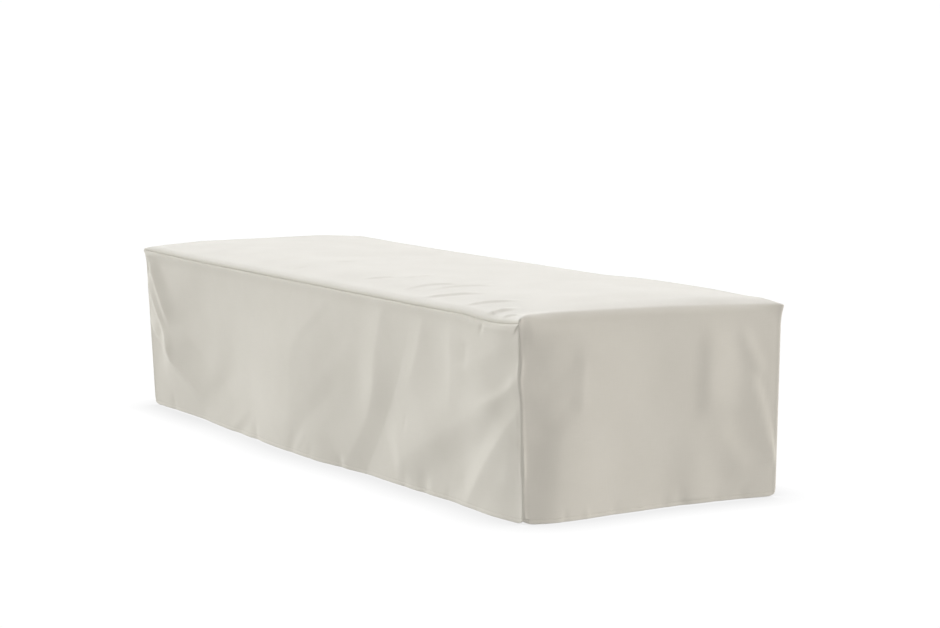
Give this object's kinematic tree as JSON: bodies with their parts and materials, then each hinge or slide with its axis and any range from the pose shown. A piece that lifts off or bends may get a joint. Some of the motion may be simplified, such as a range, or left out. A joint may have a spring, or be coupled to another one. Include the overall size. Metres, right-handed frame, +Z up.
{
  "type": "chaise lounge cover",
  "caption": "Long fitted cloth cover for a low chaise lounge: a box of thin outdoor canvas, open below, with soft rolled top edges, sewn corner seams and a loosely hanging hem.",
  "frame": {"origin": "middle of the cover's footprint, on the floor that the hem touches", "axes": "+X along the length towards the end that the picture shows, +Y across towards the hidden long side, +Z up"},
  "size_m": [2.156, 0.7723, 0.4998],
  "materials": {
    "band_canvas": "matt woven outdoor canvas, warm off-white",
    "front_canvas": "matt woven outdoor canvas, warm off-white",
    "back_canvas": "matt woven outdoor canvas, warm off-white"
  },
  "bodies": {
    "root": {"band_panel": "band_canvas", "side_panel_front": "front_canvas", "side_panel_back": "back_canvas"}
  },
  "joints": []
}
